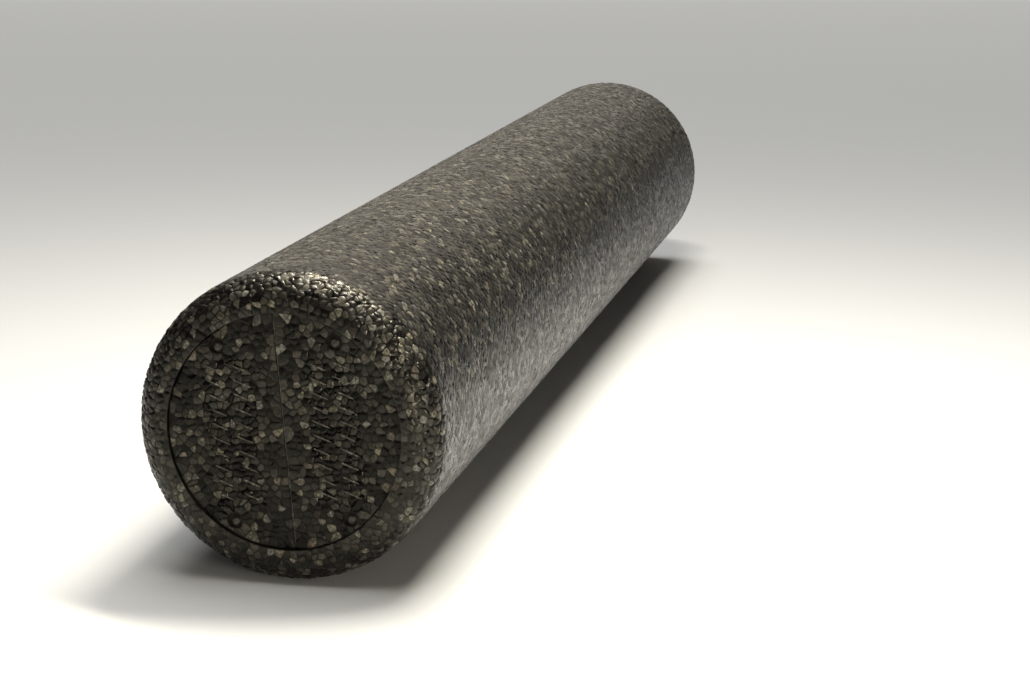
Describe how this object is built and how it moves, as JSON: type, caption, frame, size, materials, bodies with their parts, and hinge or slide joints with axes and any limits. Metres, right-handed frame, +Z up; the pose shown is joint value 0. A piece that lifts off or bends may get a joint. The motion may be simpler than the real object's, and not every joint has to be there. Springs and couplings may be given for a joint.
{
  "type": "foam roller",
  "caption": "Long solid cylinder of charcoal bead foam with rounded rims and slightly sunk end discs, for rolling and massage on the floor.",
  "frame": {"origin": "middle of the roller's length, on the surface that it lies on", "axes": "+X along the roller's axis, +Z up, +Y across it"},
  "size_m": [0.9144, 0.1524, 0.1524],
  "materials": {
    "body_foam": "satin moulded bead foam skin, charcoal with grey and olive beads",
    "end_foam": "satin moulded bead foam skin, charcoal with grey and olive beads, crisper beads at the vents"
  },
  "bodies": {
    "root": {"foam_body": "body_foam", "left_end_disc_front_half": "end_foam", "left_end_disc_rear_half": "end_foam", "right_end_disc_front_half": "end_foam", "right_end_disc_rear_half": "end_foam"}
  },
  "joints": []
}
